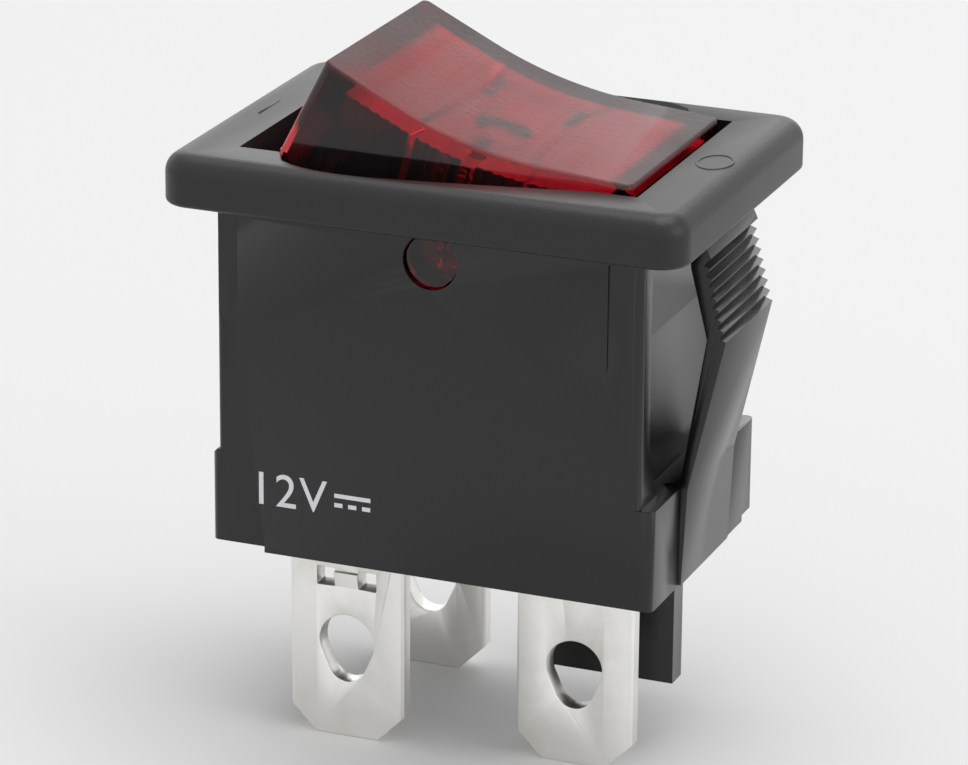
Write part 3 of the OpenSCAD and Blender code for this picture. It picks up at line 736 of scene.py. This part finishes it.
class SWITCH_OT_lamp(bpy.types.Operator):
    """Finish the lamp, its leads and the resistor"""

    bl_idname = "switch.lamp"
    bl_label = "Lamp"

    def execute(self, context):
        epoxy = plastic("Lamp epoxy", (0.8, 0.05, 0.04, 1.0), 0.15, Dust=0.0)
        epoxy.set(Transmission_Weight=0.5)
        tin = sheet_metal("Tinned wire", (0.7, 0.71, 0.72, 1.0), (0.35, 0.33, 0.3, 1.0), 0.3, 0.3, 0.1)
        lacquer = plastic("Resistor lacquer", (0.2, 0.42, 0.55, 1.0), 0.35, Dust=0.0).material
        finishes = {
            "led_lamp": epoxy.material,
            "led_cathode_lead": tin,
            "led_anode_lead": tin,
            "resistor_lead": tin,
            "resistor": lacquer,
        }
        for node, material in finishes.items():
            obj = frame["nodes"][node]
            obj.data.materials.clear()
            obj.data.materials.append(material)
        return {"FINISHED"}


class SWITCH_OT_marks(bpy.types.Operator):
    """Raise the I and O on the bezel and print the rating on the front"""

    bl_idname = "switch.marks"
    bl_label = "Marks"

    def execute(self, context):
        values = settings(context).marks
        housing = settings(context).housing
        shader = plastic("Raised mark", housing.colour, housing.roughness, Grain_depth=housing.grain)
        ring = ellipse(9.17 * MM, -0.05 * MM, values.ring_x, values.ring_y)
        bar = [Vector((-9.15 * MM, y * values.bar / 2, BEZEL_TOP)) for y in (-1, 1)]
        for name, bm in (
            ("off_mark", tube_loop(ring, values.line / 2, True)),
            ("on_mark", tube_loop(bar, values.line / 2, False)),
        ):
            obj = mesh_object(name, bm)
            obj.data.shade_smooth()
            dress(obj, "base", shader.material)
        ink = plastic("White ink", values.ink, 0.6, Dust=0.0, Grain_depth=0.5).material
        obj = printed_rating(values)
        dress(obj, "base", ink)
        return {"FINISHED"}


def ellipse(x, y, half_x, half_y, steps=48):
    return [
        Vector((x + half_x * math.cos(a), y + half_y * math.sin(a), BEZEL_TOP))
        for a in (2 * math.pi * i / steps for i in range(steps))
    ]


def tube_loop(points, radius, closed, sides=8):
    """A round bead along points, its lower half sunk in the face."""
    bm = bmesh.new()
    count = len(points)
    rings = []
    for i, p in enumerate(points):
        before = points[(i - 1) % count] if closed or i else p
        after = points[(i + 1) % count] if closed or i < count - 1 else p
        along = (after - before).normalized()
        across = along.cross(Vector((0, 0, 1)))
        rings.append(
            [
                bm.verts.new(p + radius * (math.cos(a) * across + math.sin(a) * 0.6 * Vector((0, 0, 1))))
                for a in (2 * math.pi * k / sides for k in range(sides))
            ]
        )
    for i in range(count if closed else count - 1):
        a, b = rings[i], rings[(i + 1) % count]
        for k in range(sides):
            bm.faces.new((a[k], a[(k + 1) % sides], b[(k + 1) % sides], b[k]))
    if not closed:
        bm.faces.new(rings[0])
        bm.faces.new(rings[-1][::-1])
    bmesh.ops.recalc_face_normals(bm, faces=bm.faces)
    return bm


def printed_rating(values):
    """The voltage and the direct-current sign, as a film of ink on the front."""
    curve = bpy.data.curves.new("rating_text", "FONT")
    curve.body = values.rating
    curve.size = values.letter / 0.7
    curve.space_character = 1.08
    curve.extrude = 0.004 * MM
    text = link(bpy.data.objects.new("rating_text", curve))
    bpy.context.view_layer.update()
    depsgraph = bpy.context.evaluated_depsgraph_get()
    mesh = bpy.data.meshes.new_from_object(text.evaluated_get(depsgraph), depsgraph=depsgraph)
    bpy.data.objects.remove(text)
    bm = bmesh.new()
    bm.from_mesh(mesh)
    width = max(v.co.x for v in bm.verts)
    start = width + 0.3 * MM
    sign = 1.5 * MM
    bar = 0.17 * MM
    rows = [(start, start + sign, 0.8 * MM)] + [
        (start + i * sign / 2.6, start + i * sign / 2.6 + sign / 4.4, 0.42 * MM) for i in range(3)
    ]
    for x0, x1, y in rows:
        middle = Matrix.Translation(((x0 + x1) / 2, y, 0.0))
        made = bmesh.ops.create_cube(bm, size=1.0)
        bmesh.ops.transform(
            bm,
            matrix=middle @ Matrix.Diagonal((x1 - x0, bar, 0.008 * MM, 1.0)),
            verts=made["verts"],
        )
    corner = Matrix.Translation((-7.45 * MM, BODY_FRONT - 0.002 * MM, -12.1 * MM))
    place = corner @ Matrix.Rotation(math.pi / 2, 4, "X")
    bmesh.ops.transform(bm, matrix=place, verts=bm.verts)
    return mesh_object("rating_print", bm)


class SWITCH_OT_stage(bpy.types.Operator):
    """Set the floor, the soft light and the camera"""

    bl_idname = "switch.stage"
    bl_label = "Stage"

    def execute(self, context):
        values = settings(context).stage
        make_camera(values)
        make_floor(values)
        make_world(values)
        make_lamps()
        context.scene.view_settings.view_transform = "Standard"
        return {"FINISHED"}


def make_camera(values):
    a, e, r = values.azimuth, values.elevation, values.roll
    back = Vector((math.sin(a) * math.cos(e), -math.cos(a) * math.cos(e), math.sin(e)))
    right = Vector((math.cos(a), math.sin(a), 0.0))
    up = back.cross(right)
    right, up = math.cos(r) * right + math.sin(r) * up, math.cos(r) * up - math.sin(r) * right
    camera = bpy.data.cameras.new("Camera")
    camera.lens = values.lens
    camera.sensor_width = 36.0
    camera.clip_start = 0.01
    camera.clip_end = 20.0
    obj = link(bpy.data.objects.new("Camera", camera))
    turn = Matrix((right, up, back)).transposed().to_4x4()
    eye = values.distance * back + values.aim_x * right + values.aim_y * up
    obj.matrix_world = Matrix.Translation(eye) @ turn
    bpy.context.scene.camera = obj


def make_floor(values):
    bm = bmesh.new()
    bmesh.ops.create_grid(bm, x_segments=1, y_segments=1, size=1.5)
    bmesh.ops.translate(bm, verts=bm.verts, vec=(0.0, 0.0, TIP_Z))
    obj = mesh_object("floor", bm)
    shader = Shader("Pale floor")
    shader.set(Base_Color=values.floor, Roughness=0.9)
    shader.principled.inputs["Specular IOR Level"].default_value = 0.1
    obj.data.materials.append(shader.material)


def make_world(values):
    world = bpy.data.worlds.new("Soft room")
    bpy.context.scene.world = world
    world.use_nodes = True
    tree = world.node_tree
    tree.nodes.clear()
    output = tree.nodes.new("ShaderNodeOutputWorld")
    light = tree.nodes.new("ShaderNodeBackground")
    light.inputs["Color"].default_value = (1.0, 1.0, 1.0, 1.0)
    light.inputs["Strength"].default_value = values.world
    seen = tree.nodes.new("ShaderNodeBackground")
    seen.inputs["Color"].default_value = (1.0, 1.0, 1.0, 1.0)
    seen.inputs["Strength"].default_value = 1.0
    path = tree.nodes.new("ShaderNodeLightPath")
    mix = tree.nodes.new("ShaderNodeMixShader")
    reach = path.outputs["Is Camera Ray"]
    for label in ("Is Glossy Ray", "Is Transmission Ray"):
        either = tree.nodes.new("ShaderNodeMath")
        either.operation = "MAXIMUM"
        tree.links.new(reach, either.inputs[0])
        tree.links.new(path.outputs[label], either.inputs[1])
        reach = either.outputs[0]
    tree.links.new(reach, mix.inputs["Fac"])
    tree.links.new(light.outputs[0], mix.inputs[1])
    tree.links.new(seen.outputs[0], mix.inputs[2])
    tree.links.new(mix.outputs[0], output.inputs["Surface"])


def make_lamps():
    for name, place, size, power in (
        ("Top softbox", (0.05, 0.05, 0.6), 0.5, 2.0),
        ("Back softbox", (-0.25, 0.85, 0.35), 0.8, 1.4),
        ("Side softbox", (0.7, -0.1, 0.25), 0.5, 1.0),
    ):
        lamp = bpy.data.lights.new(name, "AREA")
        lamp.shape = "SQUARE"
        lamp.size = size
        lamp.energy = power
        obj = link(bpy.data.objects.new(name, lamp))
        obj.location = place
        obj.rotation_mode = "QUATERNION"
        obj.rotation_quaternion = (Vector(place) - Vector((0.0, 0.0, -0.008))).to_track_quat("Z", "Y")


class SWITCH_PT_panel(bpy.types.Panel):
    """Lists the switch's pieces in the sidebar"""

    bl_idname = "SWITCH_PT_panel"
    bl_label = "Rocker Switch"
    bl_space_type = "VIEW_3D"
    bl_region_type = "UI"
    bl_category = "Rocker Switch"

    def draw(self, context):
        layout = self.layout
        for operator in OPERATORS:
            layout.operator(operator.bl_idname)
        for group in GROUPS[:-1]:
            box = layout.box()
            fields = RockerSwitchSettings.__annotations__.items()
            name = next(k for k, v in fields if v.keywords["type"] is group)
            box.label(text=name.title())
            for key in group.__annotations__:
                box.prop(getattr(settings(context), name), key)


GROUPS = (
    HousingSettings,
    LensSettings,
    TerminalSettings,
    MarkSettings,
    SpringSettings,
    StageSettings,
    RockerSwitchSettings,
)
OPERATORS = (
    SWITCH_OT_housing,
    SWITCH_OT_lens,
    SWITCH_OT_terminals,
    SWITCH_OT_contacts,
    SWITCH_OT_spring,
    SWITCH_OT_lamp,
    SWITCH_OT_marks,
    SWITCH_OT_stage,
)


def register():
    for cls in (*GROUPS, *OPERATORS, SWITCH_PT_panel):
        bpy.utils.register_class(cls)
    bpy.types.Scene.rocker_switch = PointerProperty(type=RockerSwitchSettings)


def unregister():
    del bpy.types.Scene.rocker_switch
    for cls in reversed((*GROUPS, *OPERATORS, SWITCH_PT_panel)):
        bpy.utils.unregister_class(cls)


def main():
    register()
    bpy.ops.switch.housing()
    bpy.ops.switch.lens()
    bpy.ops.switch.terminals()
    bpy.ops.switch.contacts()
    bpy.ops.switch.spring()
    bpy.ops.switch.lamp()
    bpy.ops.switch.marks()
    bpy.ops.switch.stage()


if __name__ == "__main__":
    main()
